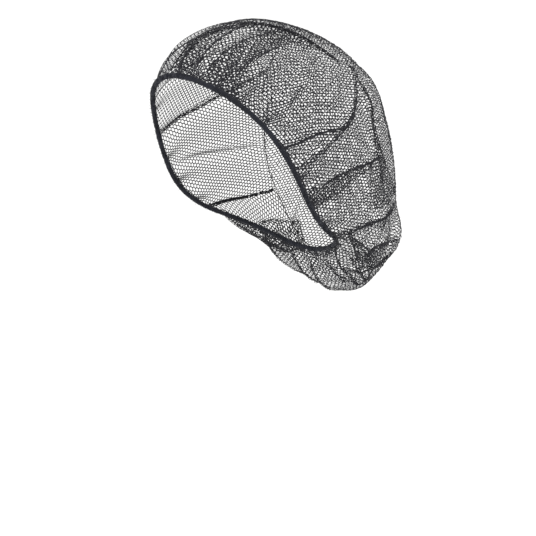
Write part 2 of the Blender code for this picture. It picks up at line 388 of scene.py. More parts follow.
def from_line(points, line, reach):
    """For the points within reach of a line: which they are, the way to it, and where along it."""
    spots = line[::SPOT_STEP]
    far = np.linalg.norm(points[:, None] - spots, axis=-1).min(1)
    spacing = np.linalg.norm(np.diff(spots, axis=0), axis=-1).max()
    near = np.flatnonzero(far < reach + spacing)
    start, run = line[:-1], np.diff(line, axis=0)
    offset = points[near][:, None] - start
    along = ((offset * run).sum(-1) / (run * run).sum(-1)).clip(0, 1)
    way = along[..., None] * run - offset
    closest = (way**2).sum(-1).argmin(1)
    rows = np.arange(len(near))
    place = (closest + along[rows, closest]) / len(run)
    return near, way[rows, closest], place


def bell(away, width):
    """1 on a line, falling smoothly to nothing a few widths away from it."""
    return np.exp(-((away / width) ** 2))


def fading(place):
    """A fold's strength at places along it, from 0 to 1: none at its ends and full in the middle."""
    return np.sqrt(np.sin(pi * place).clip(0, 1))


def fold_lift(points, lines, crease_height=0.0, crease_width=1.0):
    """How far the folds lift each point: a broad rise, and a sharp ridge where threads bunch."""
    lift = np.zeros(len(points))
    for fold, line in lines:
        width = fold.width * FOLD_WIDTH
        near, way, place = from_line(points, line, BELL_REACH * width)
        away, fade = np.linalg.norm(way, axis=-1), fading(place)
        lift[near] += fold.height * FOLD_HEIGHT * fade * bell(away, width)
        lift[near] += crease_height * fold.pull * fade * bell(away, crease_width)
    return lift


def settle(points, square_to, lines, from_edge, settings):
    """Bunches points of the bare bag towards its folds, and lifts them into the folds."""
    hold = 1 - bell(from_edge, EDGE_HOLD)
    pulled = points.copy()
    for fold, line in lines:
        if fold.pull:
            near, way, place = from_line(points, line, BELL_REACH * settings.bunch_reach)
            away = np.linalg.norm(way, axis=-1)
            strength = fold.pull * fading(place) * bell(away, settings.bunch_reach)
            pulled[near] += way * (strength * hold[near])[:, None]
    lift = fold_lift(pulled, lines, settings.crease_height, settings.crease_width)
    return pulled + square_to * (lift * hold)[:, None]


def broad_form(share, turn):
    """The bag with its broad corners and hollows, which the net is cut to, and none of its creases."""
    points = bare_surface(share, turn)
    lift = fold_lift(points.reshape(-1, 3), fold_lines(fold for fold in FOLDS if not fold.pull))
    return points + outward(share, turn) * lift.reshape(share.shape)[..., None]


def two_sides(corners):
    """The ways from each triangle's first corner to its second and its third."""
    return corners[:, 1] - corners[:, 0], corners[:, 2] - corners[:, 0]


def flat_cross(one, two):
    """Twice the area of the triangle between two flat ways, below 0 where they turn clockwise."""
    return one[:, 0] * two[:, 1] - one[:, 1] * two[:, 0]


def flatten(points, triangles, start):
    """Lays a curved field flat with as little stretch as it can, from a first rough layout."""
    first, second = two_sides(points[triangles])
    length = np.linalg.norm(first, axis=-1)
    laid = np.zeros((len(triangles), 3, 2))
    laid[:, 1, 0] = length
    laid[:, 2, 0] = (first * second).sum(-1) / length
    laid[:, 2, 1] = np.linalg.norm(np.cross(first, second), axis=-1) / length
    count = len(points)
    stiffness = np.zeros((count, count))
    sides = []
    for corner in range(3):
        one, other = (corner + 1) % 3, (corner + 2) % 3
        a, b = laid[:, one] - laid[:, corner], laid[:, other] - laid[:, corner]
        weight = (a * b).sum(-1) / flat_cross(a, b)
        i, j = triangles[:, one], triangles[:, other]
        for row, column, sign in ((i, j, -1), (j, i, -1), (i, i, 1), (j, j, 1)):
            np.add.at(stiffness, (row, column), sign * weight)
        sides.append((i, j, weight, laid[:, one] - laid[:, other]))
    # One point is held, because the sides alone don't say where the field lies
    stiffness[0, 0] += 1
    solver = np.linalg.inv(stiffness)
    flat = start
    for _ in range(FLATTEN_STEPS):
        turning, keeping = 0, 0
        for i, j, weight, side in sides:
            drawn = flat[i] - flat[j]
            turning = turning + weight * flat_cross(side, drawn)
            keeping = keeping + weight * (drawn * side).sum(-1)
        turn = np.arctan2(turning, keeping)
        cosine, sine = np.cos(turn), np.sin(turn)
        pull = np.zeros((count, 2))
        for i, j, weight, side in sides:
            x, y = side.T
            turned = np.stack([cosine * x - sine * y, sine * x + cosine * y], -1)
            np.add.at(pull, i, turned * weight[:, None])
            np.add.at(pull, j, -turned * weight[:, None])
        flat = solver @ pull
    return flat - flat.mean(0)


def grid_triangles(rows, columns, cyclic):
    """Triangles over a grid of rows and columns, whose points are numbered row by row."""
    number = np.arange(rows * columns).reshape(rows, columns)
    beside = np.roll(number, -1, 1) if cyclic else number[:, 1:]
    here = number if cyclic else number[:, :-1]
    a, b, c, d = here[:-1].ravel(), beside[:-1].ravel(), beside[1:].ravel(), here[1:].ravel()
    return np.concatenate([np.stack([a, b, c], -1), np.stack([a, c, d], -1)])


class Patch:
    """A field of net: a grid of places on the bag, and the same grid laid flat."""

    def __init__(self, share, turn, cyclic=False):
        self.triangles = grid_triangles(*share.shape, cyclic)
        self.corners = np.stack([share.ravel(), turn.ravel()], -1)[self.triangles]
        if cyclic:
            # Across the seam the turn goes on past a whole turn
            jump = self.corners[:, :, 1] - self.corners[:, :1, 1]
            self.corners[:, :, 1] -= tau * np.round(jump / tau)
        points = broad_form(share, turn)
        start = self.rough_layout(points, turn, cyclic)
        if np.median(flat_cross(*two_sides(start[self.triangles]))) < 0:
            start[:, 0] *= -1
        self.lay(flatten(points.reshape(-1, 3), self.triangles, start))

    @staticmethod
    def rough_layout(points, turn, cyclic):
        """A first flat layout: rows side by side, or rings about the last one if they close."""
        if cyclic:
            steps = np.linalg.norm(np.diff(points, axis=0), axis=-1)
            out = np.vstack([np.cumsum(steps[::-1], 0)[::-1], np.zeros((1, steps.shape[1]))])
            return np.stack([out * np.sin(turn), out * np.cos(turn)], -1).reshape(-1, 2)
        middle = points[:, points.shape[1] // 2]
        up = np.append(0, np.cumsum(np.linalg.norm(np.diff(middle, axis=0), axis=-1)))
        across = np.cumsum(np.linalg.norm(np.diff(points, axis=1), axis=-1), 1)
        across = np.hstack([np.zeros((len(points), 1)), across])
        across -= across[:, -1:] / 2
        return np.stack([across, np.broadcast_to(up[:, None], across.shape)], -1).reshape(-1, 2)

    def lay(self, flat):
        """Keeps the flat layout, and readies it so that places can be found on it."""
        self.flat = flat
        spots = [(x, y, 0.0) for x, y in flat.tolist()]
        self.finder = BVHTree.FromPolygons(spots, self.triangles.tolist())

    def spread(self, across, along=1.0):
        """Gathers more net into the same width or length."""
        self.lay(self.flat * (across, along))

    def flat_size(self):
        """Width, length and area of the field laid flat."""
        width, length = self.flat.max(0) - self.flat.min(0)
        return width, length, flat_cross(*two_sides(self.flat[self.triangles])).sum() / 2

    def locate(self, spots):
        """Shares and turns of flat spots, and which are on the field. The others go to its border."""
        found = []
        for x, y in spots.tolist():
            place, _, index, _ = self.finder.find_nearest(Vector((x, y, 0.0)))
            found.append((index, place.x, place.y))
        found = np.array(found)
        index, nearest = found[:, 0].astype(int), found[:, 1:]
        corners = self.flat[self.triangles[index]]
        one, two = two_sides(corners)
        offset, size = nearest - corners[:, 0], flat_cross(one, two)
        second, third = flat_cross(offset, two) / size, flat_cross(one, offset) / size
        weights = np.stack([1 - second - third, second, third], -1)
        places = (self.corners[index] * weights[..., None]).sum(1)
        inside = np.linalg.norm(nearest - spots, axis=-1) < ON_FIELD
        return places[:, 0], places[:, 1], inside


def cell_lattice(patch, settings, lattice_turn):
    """Cell centres over a flat field, and the triangles between them, whose middles are knots."""
    wide, tall = settings.cell_width, settings.cell_height
    across = np.array([cos(lattice_turn), sin(lattice_turn)])
    along = np.array([-sin(lattice_turn), cos(lattice_turn)])
    reach = np.abs(patch.flat).max() * LATTICE_REACH + wide
    columns = np.arange(-int(reach / wide), int(reach / wide) + 1)
    rows = np.arange(-int(reach / tall), int(reach / tall) + 1)
    column, row = np.meshgrid(columns, rows, indexing="ij")
    lift = row + 0.5 * (column % 2)
    centres = (column * wide)[..., None] * across + (lift * tall)[..., None] * along
    centres = centres.reshape(-1, 2)
    low, high = patch.flat.min(0) - wide, patch.flat.max(0) + wide
    boxed = np.flatnonzero(((centres > low) & (centres < high)).all(-1))
    kept = np.zeros(len(centres), bool)
    kept[boxed] = patch.locate(centres[boxed])[2]
    number = np.arange(column.size).reshape(column.shape)
    here, up = number[:-1, :-1], number[:-1, 1:]
    beside, beside_up = number[1:, :-1], number[1:, 1:]
    # Columns stand half a cell up on their neighbours, so the diagonal changes side each column
    odd = (column % 2).astype(bool)[:-1, :-1, None]
    one = np.where(odd, np.stack([here, beside_up, up], -1), np.stack([here, beside, up], -1))
    two = np.where(odd, np.stack([here, beside, beside_up], -1), np.stack([beside, beside_up, up], -1))
    triangles = np.concatenate([one.reshape(-1, 3), two.reshape(-1, 3)])
    return centres, triangles[kept[triangles].any(-1)]


# A field of net with its lattice's turn in radians, its depth under the surface, and how far its
# threads fold in and out, both in metres
Layer = namedtuple("Layer", "patch lattice_turn depth ply", defaults=(0.0, 0.0))


def lay_net(layers, settings):
    """The cell lattice of several layers: its points and triangles, and for each triangle its
    knot's place, the way out of the bag there, and how slack the net is."""
    lines = fold_lines(FOLDS)
    laid, count = [], 0
    for patch, lattice_turn, depth, ply in layers:
        centres, faces = cell_lattice(patch, settings, lattice_turn)
        flat_knots = centres[faces].mean(1)
        share, turn, _ = patch.locate(flat_knots)
        from_edge = np.linalg.norm(bare_surface(share, turn) - bare_surface(0 * share, turn), axis=-1)
        gathered = settings.gather * bell(from_edge, GATHER_REACH)
        turn = turn - gathered * np.sin(GATHERS * turn) / GATHERS
        square_to = outward(share, turn)
        knots = settle(bare_surface(share, turn), square_to, lines, from_edge, settings)
        # Net that is gathered into a bundle folds to and fro across it
        under = depth + ply * np.sin(tau * flat_knots[:, 0] / PLY_PITCH)
        under *= 1 - bell(from_edge, EDGE_HOLD)
        knots -= square_to * under[:, None]
        slack = np.clip((share - TIGHT_TO) / (LOOSE_FROM - TIGHT_TO), 0, 1)
        used, faces = np.unique(faces, return_inverse=True)
        laid.append((centres[used], faces.reshape(-1, 3) + count, knots, square_to, slack))
        count += len(used)
    return [np.concatenate(rows) for rows in zip(*laid)]


def fill(tree, node, sockets):
    """Gives each named socket of a node its value, or links it to the output that is given."""
    for name, value in sockets.items():
        if isinstance(value, bpy.types.NodeSocket):
            tree.links.new(value, node.inputs[name])
        else:
            node.inputs[name].default_value = value


def add_node(tree, kind, sockets=None, **settings):
    """Adds a node with its settings and sockets, and returns its outputs."""
    node = tree.nodes.new(kind)
    for name, value in settings.items():
        setattr(node, name, value)
    fill(tree, node, sockets or {})
    return node.outputs


def new_tree(name, inputs, output):
    """A Geometry Nodes tree with its inputs and its output, and the inputs as nodes read them."""
    tree = bpy.data.node_groups.new(name, "GeometryNodeTree")
    tree.is_modifier = True
    for label, kind in inputs.items():
        tree.interface.new_socket(label, in_out="INPUT", socket_type=f"NodeSocket{kind}")
    tree.interface.new_socket(output, in_out="OUTPUT", socket_type="NodeSocketGeometry")
    return tree, add_node(tree, "NodeGroupInput")


def finish_tree(tree, made, material):
    """Ends a tree with real geometry in its material."""
    real = add_node(tree, "GeometryNodeRealizeInstances", {"Geometry": made})
    sockets = {"Geometry": real["Geometry"], "Material": material}
    dressed = add_node(tree, "GeometryNodeSetMaterial", sockets)
    add_node(tree, "NodeGroupOutput", {0: dressed["Geometry"]})


def kept_value(tree, name, kind="FLOAT_VECTOR"):
    """A value that the mesh keeps under a name."""
    return add_node(tree, "GeometryNodeInputNamedAttribute", {"Name": name}, data_type=kind)["Attribute"]


def moved(tree, geometry, sockets):
    """The geometry with its points moved."""
    return add_node(tree, "GeometryNodeSetPosition", {"Geometry": geometry, **sockets})["Geometry"]


def calculate(tree, operation, one, other):
    """The output of a math node on two values, each a number or another output."""
    return add_node(tree, "ShaderNodeMath", {0: one, 1: other}, operation=operation)["Value"]


def scaled(tree, vector, factor):
    """A vector made longer or shorter by a factor."""
    sockets = {"Vector": vector, "Scale": factor}
    return add_node(tree, "ShaderNodeVectorMath", sockets, operation="SCALE")["Vector"]


def chance(tree, span, seed):
    """A random vector between the two of a span."""
    sockets = {"Min": span[0], "Max": span[1], "Seed": seed}
    return add_node(tree, "FunctionNodeRandomValue", sockets, data_type="FLOAT_VECTOR")["Value"]


def knot_tree():
    """A net out of a lattice of cells: each cell becomes an opening, and each knot goes to its place."""
    inputs = {"Cells": "Geometry", "Unevenness": "Float", "Seed": "Int", "Thread": "Material"}
    tree, given = new_tree("Knotted net", inputs, "Net")
    openings = add_node(tree, "GeometryNodeDualMesh", {"Mesh": given["Cells"]})
    placed = moved(tree, openings["Dual Mesh"], {"Position": kept_value(tree, "knot_place")})
    reach = calculate(tree, "MULTIPLY", kept_value(tree, "slack", "FLOAT"), given["Unevenness"])
    stray = chance(tree, ((-1, -1, -1), (1, 1, 1)), given["Seed"])
    uneven = moved(tree, placed, {"Offset": scaled(tree, stray, reach)})
    # A thread's middle is kept for when it is flattened
    middle = add_node(tree, "GeometryNodeInputPosition")["Position"]
    sockets = {"Geometry": uneven, "Name": "knot_place", "Value": middle}
    kind = {"data_type": "FLOAT_VECTOR", "domain": "POINT"}
    kept = add_node(tree, "GeometryNodeStoreNamedAttribute", sockets, **kind)
    finish_tree(tree, kept["Geometry"], given["Thread"])
    return tree


def flat_thread_tree():
    """Presses threads flat against the bag, towards the middles kept in knot_place."""
    inputs = {"Net": "Geometry", "Flatness": "Float", "Thread": "Material"}
    tree, given = new_tree("Flat thread", inputs, "Flat net")
    square_to = kept_value(tree, "outward")
    position = add_node(tree, "GeometryNodeInputPosition")["Position"]
    ways = {0: kept_value(tree, "knot_place"), 1: position}
    inwards = add_node(tree, "ShaderNodeVectorMath", ways, operation="SUBTRACT")["Vector"]
    ways = {0: inwards, 1: square_to}
    depth = add_node(tree, "ShaderNodeVectorMath", ways, operation="DOT_PRODUCT")["Value"]
    pressed = scaled(tree, scaled(tree, square_to, depth), given["Flatness"])
    finish_tree(tree, moved(tree, given["Net"], {"Offset": pressed}), given["Thread"])
    return tree


def edge_tree():
    """Thread wound round the elastic, and fibres that have come loose from it."""
    inputs = {
        "Middle line": "Geometry",
        "Radius": "Float",
        "Turns of thread": "Int",
        "Thread": "Float",
        "Fibres": "Int",
        "Fibre length": "Float",
        "Fibre thickness": "Float",
        "Seed": "Int",
        "Finish": "Material",
    }
    tree, given = new_tree("Wound elastic", inputs, "Elastic")

    def circle(radius, points):
        sockets = {"Radius": radius, "Resolution": points}
        return add_node(tree, "GeometryNodeCurvePrimitiveCircle", sockets, mode="RADIUS")["Curve"]

    def tube(path, radius, sides):
        sockets = {"Curve": path, "Profile Curve": circle(radius, sides), "Fill Caps": True}
        return add_node(tree, "GeometryNodeCurveToMesh", sockets)["Mesh"]

    def of_radius(share):
        return calculate(tree, "MULTIPLY", given["Radius"], share)

    def strewn(item, count, lean, size, shift):
        """Copies of an item along the middle line, each with a lean and a size of its own."""
        sockets = {"Curve": given["Middle line"], "Count": count}
        places = add_node(tree, "GeometryNodeCurveToPoints", sockets, mode="COUNT")
        seeds = [calculate(tree, "ADD", given["Seed"], shift + step) for step in (0, 1)]
        sockets = {"Rotation": places["Rotation"], "Rotate By": chance(tree, lean, seeds[0])}
        turned = add_node(tree, "FunctionNodeRotateRotation", sockets, rotation_space="LOCAL")
        sockets = {"Points": places["Points"], "Instance": item, "Rotation": turned["Rotation"]}
        sockets["Scale"] = chance(tree, size, seeds[1])
        return add_node(tree, "GeometryNodeInstanceOnPoints", sockets)["Instances"]

    # The core, lumpy under the thread
    sockets = {"Curve": given["Middle line"], "Count": CORE_POINTS}
    core_line = add_node(tree, "GeometryNodeResampleCurve", sockets, mode="COUNT")["Curve"]
    lumps = add_node(tree, "ShaderNodeTexNoise", {"Scale": LUMP_SCALE})["Fac"]
    swell = calculate(tree, "MULTIPLY", calculate(tree, "SUBTRACT", lumps, 0.5), LUMP_SHARE)
    swell = calculate(tree, "MULTIPLY", swell, given["Radius"])
    normal = add_node(tree, "GeometryNodeInputNormal")["Normal"]
    core = tube(core_line, of_radius(CORE_SHARE), CORE_SIDES)
    core = moved(tree, core, {"Offset": scaled(tree, normal, swell)})

    # Turns of thread, each a ring that leans its own way
    loop = tube(circle(of_radius(LOOP_SHARE), LOOP_POINTS), given["Thread"], THREAD_SIDES)
    wound = strewn(loop, given["Turns of thread"], LOOP_LEAN, LOOP_SIZE, 1)

    # Loose fibres, bent and each its own length
    bend = {"Resolution": FIBRE_STEPS, **FIBRE_BEND}
    bent = add_node(tree, "GeometryNodeCurveQuadraticBezier", bend)["Curve"]
    sockets = {"Geometry": bent, "Scale": given["Fibre length"]}
    sized = add_node(tree, "GeometryNodeTransform", sockets)["Geometry"]
    fibre = tube(sized, given["Fibre thickness"], FIBRE_SIDES)
    loose = strewn(fibre, given["Fibres"], FIBRE_LEAN, FIBRE_SIZE, 3)

    joined = tree.nodes.new("GeometryNodeJoinGeometry")
    for part in (loose, wound, core):
        tree.links.new(part, joined.inputs["Geometry"])
    finish_tree(tree, joined.outputs["Geometry"], given["Finish"])
    return tree


def run_tree(obj, tree, values):
    """Adds a tree to an object, with its inputs set by their identifiers."""
    modifier = obj.modifiers.new(tree.name, "NODES")
    modifier.node_group = tree
    for item in tree.interface.items_tree:
        if item.in_out == "INPUT" and item.name in values:
            modifier[item.identifier] = values[item.name]


def new_object(name, data):
    """An object in the scene, at the origin."""
    obj = bpy.data.objects.new(name, data)
    bpy.context.scene.collection.objects.link(obj)
    return obj


def made_plain(obj):
    """The object again as a plain mesh, with its modifiers worked in."""
    graph = bpy.context.evaluated_depsgraph_get()
    mesh = bpy.data.meshes.new_from_object(obj.evaluated_get(graph))
    name, source = obj.name, obj.data
    bpy.data.objects.remove(obj)
    (bpy.data.meshes if isinstance(source, bpy.types.Mesh) else bpy.data.curves).remove(source)
    mesh.name = name
    if not mesh.polygons:
        raise RuntimeError(f"{name} came out empty")
    return new_object(name, mesh)


def net_object(name, layers, settings, seed):
    """A piece of net: its lattice of cells is made into knotted net, then into flat threads."""
    points, triangles, knots, square_to, slack = lay_net(layers, settings)
    mesh = bpy.data.meshes.new(name)
    mesh.from_pydata([(x, y, 0.0) for x, y in points.tolist()], [], triangles.tolist())
    for attribute, kind, key, values in (
        ("knot_place", "FLOAT_VECTOR", "vector", knots),
        ("outward", "FLOAT_VECTOR", "vector", square_to),
        ("slack", "FLOAT", "value", slack),
    ):
        mesh.attributes.new(attribute, kind, "FACE").data.foreach_set(key, values.ravel())
    obj = new_object(name, mesh)
    material = net_material(settings)
    tree = bpy.data.node_groups.get("Knotted net") or knot_tree()
    run_tree(obj, tree, {"Unevenness": settings.unevenness, "Seed": seed, "Thread": material})
    threads = obj.modifiers.new("threads", "WIREFRAME")
    threads.thickness = settings.thread / WIRE_SHARE
    threads.use_even_offset = False
    threads.use_replace = True
    threads.use_boundary = True
    tree = bpy.data.node_groups.get("Flat thread") or flat_thread_tree()
    run_tree(obj, tree, {"Flatness": settings.flatness, "Thread": material})
    return made_plain(obj)


def back_share(turn):
    """The share of the way to the back where the back field starts, at turns in degrees."""
    return blend_rows(BACK_RING, (np.asarray(turn) / 360) % 1, cyclic=True)


def field_patch(field):
    """A field from the elastic to the back field, between its two creases."""
    across = np.linspace(0, 1, FIELD_COLUMNS)
    up = np.linspace(0, 1, FIELD_ROWS)[:, None]
    start, end = blend_rows(field.from_turns, up), blend_rows(field.to_turns, up)
    turn = start + (end - start) * across
    return Patch(up * back_share(turn), np.radians(turn))


def back_patch():
    """The field that closes the back, in rings."""
    turn = np.arange(BACK_COLUMNS) * 360 / BACK_COLUMNS
    start = back_share(turn)
    up = np.linspace(0, 1, BACK_ROWS)[:, None]
    share = start + (1 + BACK_CLOSING * BACK_CLOSED - start) * up
    return Patch(share, np.radians(np.broadcast_to(turn, share.shape)), cyclic=True)


def pleat_patch(pleat):
    """The field of a pleat or a doubled flat, ruled between its two borders."""
    up = np.linspace(0, 1, PLEAT_ROWS)
    borders = []
    for border in (pleat.near, pleat.far):
        shares, turns = np.array(border).T
        borders.append((blend_rows(shares, up), blend_rows(turns, up)))
    across = np.linspace(0, 1, PLEAT_COLUMNS)
    share, turn = (one[:, None] + (other - one)[:, None] * across for one, other in zip(*borders))
    patch = Patch(share, np.radians(turn))
    patch.spread(1.0, pleat.fullness)
    return patch


def bundle_patch(fold, fullness):
    """The strip of gathered net along a fold, wider in the middle than at its ends."""
    shares, turns = fold_line(fold)
    up = bare_surface(shares + NUDGE, turns) - bare_surface(shares - NUDGE, turns)
    round_bag = bare_surface(shares, turns + NUDGE) - bare_surface(shares, turns - NUDGE)
    along = np.gradient(bare_surface(shares, turns), axis=0)
    side = np.cross(outward(shares, turns), along)
    side /= np.linalg.norm(side, axis=-1, keepdims=True)
    # How far to go in share and turn to move one metre sideways on the bag
    a, b, c = (up * up).sum(-1), (up * round_bag).sum(-1), (round_bag * round_bag).sum(-1)
    d, e = (up * side).sum(-1), (round_bag * side).sum(-1)
    size = (a * c - b * b) / (2 * NUDGE)
    by_share, by_turn = (c * d - b * e) / size, (a * e - b * d) / size
    taper = BUNDLE_END + (1 - BUNDLE_END) * np.sin(pi * np.linspace(0, 1, FOLD_STEPS))
    step = taper[:, None] * (np.linspace(-0.5, 0.5, BUNDLE_COLUMNS) * fold.bundle)
    patch = Patch(shares[:, None] + by_share[:, None] * step, turns[:, None] + by_turn[:, None] * step)
    patch.spread(fullness)
    return patch


def thread_group():
    """Shading for twisted thread: a fine twist along it, and slow patches of wear which on the elastic are
    also painted glints, as a height and a mask.
    """
    tree = bpy.data.node_groups.new("Thread twist", "ShaderNodeTree")
    for name, default in (("Twist scale", 900.0), ("Wear scale", 60.0), ("Fuzz", 0.4)):
        socket = tree.interface.new_socket(name, in_out="INPUT", socket_type="NodeSocketFloat")
        socket.default_value = default
    for name in ("Height", "Wear"):
        tree.interface.new_socket(name, in_out="OUTPUT", socket_type="NodeSocketFloat")
    given = add_node(tree, "NodeGroupInput")
    place = add_node(tree, "ShaderNodeTexCoord")["Object"]
    fine = {"Vector": place, "Scale": given["Twist scale"]}
    twist = add_node(tree, "ShaderNodeTexWave", {**fine, "Distortion": 2.0}, bands_direction="DIAGONAL")
    fuzz = add_node(tree, "ShaderNodeTexNoise", {**fine, "Detail": 3.0})
    mixed = add_node(tree, "ShaderNodeMix", {"Factor": given["Fuzz"], "A": twist["Fac"], "B": fuzz["Fac"]})
    slow = {"Vector": place, "Scale": given["Wear scale"], "Detail": 2.0}
    wear_and_glints = add_node(tree, "ShaderNodeTexNoise", slow)
    add_node(tree, "NodeGroupOutput", {"Height": mixed["Result"], "Wear": wear_and_glints["Fac"]})
    return tree


def new_material(name):
    """A material with the shader that it starts with, and its tree."""
    material = bpy.data.materials.new(name)
    material.use_nodes = True
    return material, material.node_tree, material.node_tree.nodes["Principled BSDF"]


def thread_material(name, settings, twist_scale, fuzz, bump):
    """A thread's finish: its colour and gloss vary slowly in patches of wear, which on the elastic are also
    painted glints, and its twist lifts the surface.
    """
    material, tree, shader = new_material(name)
    group = bpy.data.node_groups.get("Thread twist") or thread_group()
    sockets = {"Twist scale": twist_scale, "Fuzz": fuzz}
    twist = add_node(tree, "ShaderNodeGroup", sockets, node_tree=group)
    # The worn colour is real wear on the net; on the elastic it is lighter and bluish, painted glints of its
    # shiny thread as well as wear
    fresh, wear_and_glint = (*settings.colour, 1.0), (*settings.wear_and_glint_colour, 1.0)
    sockets = {"Factor": twist["Wear"], "A": fresh, "B": wear_and_glint}
    colour = add_node(tree, "ShaderNodeMix", sockets, data_type="RGBA")
    low, high = settings.roughness - GLOSS_SPREAD, settings.roughness + GLOSS_SPREAD
    gloss = add_node(tree, "ShaderNodeMapRange", {"Value": twist["Wear"], "To Min": low, "To Max": high})
    sockets = {"Height": twist["Height"], "Strength": bump, "Distance": TWIST_HEIGHT}
    lifted = add_node(tree, "ShaderNodeBump", sockets)
    finish = {
        "Base Color": colour["Result"],
        "Roughness": gloss["Result"],
        "Normal": lifted["Normal"],
        "Specular IOR Level": 0.25,
        "Sheen Weight": 0.1,
        "Sheen Roughness": 0.4,
    }
    fill(tree, shader, finish)
    return material


def net_material(settings):
    """The net's finish, which all its pieces share."""
    made = bpy.data.materials.get("black_net")
    return made or thread_material("black_net", settings, twist_scale=1800.0, fuzz=0.25, bump=0.35)


def floor_material(settings):
    """Seamless paper: a pale matt sheet with a faint tooth."""
    material, tree, shader = new_material("pale_paper")
    place = add_node(tree, "ShaderNodeTexCoord")["Object"]
    tooth = add_node(tree, "ShaderNodeTexNoise", {"Vector": place, "Scale": 300.0})
    sockets = {"Height": tooth["Fac"], "Strength": 0.05, "Distance": 0.001}
    bump = add_node(tree, "ShaderNodeBump", sockets)
    colour = (*settings.floor_colour, 1.0)
    fill(tree, shader, {"Base Color": colour, "Roughness": 0.9, "Normal": bump["Normal"]})
    return material


def finish_net(net, patches):
    """Hangs the net on the root, and works out the flat width, length and area of its fields, which are not
    used further.
    """
    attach(net, "root")
    sizes = [patch.flat_size() for patch in patches]
    covered = sum(size[2] for size in sizes)
    width, length, _ = sizes[0]
    if len(sizes) > 1:
        length = sum(size[1] for size in sizes) / STRIP_ROWS
        width = covered / length


def length_property(name, description, default):
    return FloatProperty(name=name, description=description, default=default, unit="LENGTH")


def share_property(name, description, default):
    return FloatProperty(name=name, description=description, default=default, subtype="FACTOR")


def power_property(name, description, default):
    return FloatProperty(name=name, description=description, default=default, unit="POWER")


def colour_property(name, description, default):
    return FloatVectorProperty(name=name, description=description, default=default, subtype="COLOR")


class NetSettings(bpy.types.PropertyGroup):
    cell_width: length_property("Opening width", "Pitch of the net's columns", 0.00304)
    cell_height: length_property("Opening height", "Pitch of the openings in a column", 0.00268)
    thread: length_property("Thread", "Width of the net's thread", 0.0007)
    flatness: share_property("Flatness", "How flat the thread lies, from 0, round, to 1", 0.7)
    unevenness: length_property("Unevenness", "How far a knot strays where the net is slack", 0.00042)
    gather: share_property("Gather", "How strongly the net bunches at the elastic", 0.6)
    bunch_reach: length_property("Bunch reach", "How far off a fold the threads bunch", 0.006)
    crease_height: length_property("Crease height", "Height of a fold's sharp ridge", 0.0012)
    crease_width: length_property("Crease width", "Half width of a fold's sharp ridge", 0.0018)
    colour: colour_property("Colour", "Colour of the thread", (0.006, 0.006, 0.007))
    wear_and_glint_colour: colour_property("Wear and glint colour", "Colour where the thread has rubbed", (0.014, 0.014, 0.017))
    roughness: share_property("Roughness", "How dull the thread is", 0.5)


class PleatSettings(bpy.types.PropertyGroup):
    layer_gap: length_property("Layer gap", "Distance between layers of net", 0.0013)
    fullness: FloatProperty(
        name="Fullness", description="How much net is gathered into a bundle, against its width", default=2.2
    )
    ply: length_property("Ply", "How far a bundle's folds go in and out", 0.0009)


class EdgeSettings(bpy.types.PropertyGroup):
    thickness: length_property("Thickness", "Thickness of the covered elastic", 0.004)
    turns: IntProperty(name="Turns of thread", description="Turns of thread round the elastic", default=620)
    thread: length_property("Thread", "Thickness of the wound thread", 0.0005)
    fibres: IntProperty(name="Loose fibres", description="Number of loose fibres", default=1000)
    fibre_length: length_property("Fibre length", "Length of the longest loose fibre", 0.0034)
    fibre_thickness: length_property("Fibre thickness", "Thickness of a loose fibre", 0.0002)
    colour: colour_property("Colour", "Colour of the covered elastic", (0.006, 0.0065, 0.009))
    # Painted highlights: this lighter bluish colour, in slow patches, stands for glints on the elastic's
    # shiny thread as well as for wear
    wear_and_glint_colour: colour_property("Wear and glint colour", "Colour where the elastic has rubbed", (0.022, 0.024, 0.034))
    roughness: share_property("Roughness", "How dull the covered elastic is", 0.85)


class StageSettings(bpy.types.PropertyGroup):
    floor_height: length_property("Floor height", "Height of the floor above the crown", -0.42)
    floor_colour: colour_property("Floor colour", "Colour of the floor and backdrop", (0.93, 0.93, 0.925))
    room_light: FloatProperty(name="Room light", description="Strength of the even light", default=1.0)
    key_light: power_property("Key light", "Power of the main light", 9.0)
    fill_light: power_property("Fill light", "Power of the second light", 4.0)


class HAIRNET_OT_net(bpy.types.Operator):
    """Makes the net in its fields, from the elastic to the back"""

    bl_idname = "hairnet.make_net"
    bl_label = "Net"

    def execute(self, context):
        settings = context.scene.hairnet_net
        fields = [(field.name, field_patch(field), field.lattice_turn) for field in FIELDS]
        fields.append(("net_back", back_patch(), BACK_LATTICE_TURN))
        for seed, (name, patch, lattice_turn) in enumerate(fields):
            net = net_object(name, [Layer(patch, radians(lattice_turn))], settings, seed)
            if name == "net_crown":
                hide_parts("net_bag")
            finish_net(net, [patch])
        return {"FINISHED"}


class HAIRNET_OT_pleats(bpy.types.Operator):
    """Makes the extra layers of net: pleats behind the surface, and bundles along the folds"""

    bl_idname = "hairnet.make_pleats"
    bl_label = "Pleats"

    def execute(self, context):
        settings, pleats = context.scene.hairnet_net, context.scene.hairnet_pleats
        pieces = dict.fromkeys(pleat.piece for pleat in PLEATS)
        for seed, piece in enumerate(pieces, len(FIELDS) + 1):
            layers = [
                Layer(pleat_patch(pleat), radians(pleat.lattice_turn), pleat.layer * pleats.layer_gap)
                for pleat in PLEATS
                if pleat.piece == piece
            ]
            net = net_object(piece, layers, settings, seed)
            finish_net(net, [layer.patch for layer in layers])
        bundles = [bundle_patch(fold, pleats.fullness) for fold in FOLDS if fold.bundle]
        layers = [
            Layer(patch, BUNDLE_TURN * number, ply=pleats.ply) for number, patch in enumerate(bundles)
        ]
        net = net_object("net_bundles", layers, settings, BUNDLE_SEED)
        finish_net(net, bundles)
        return {"FINISHED"}


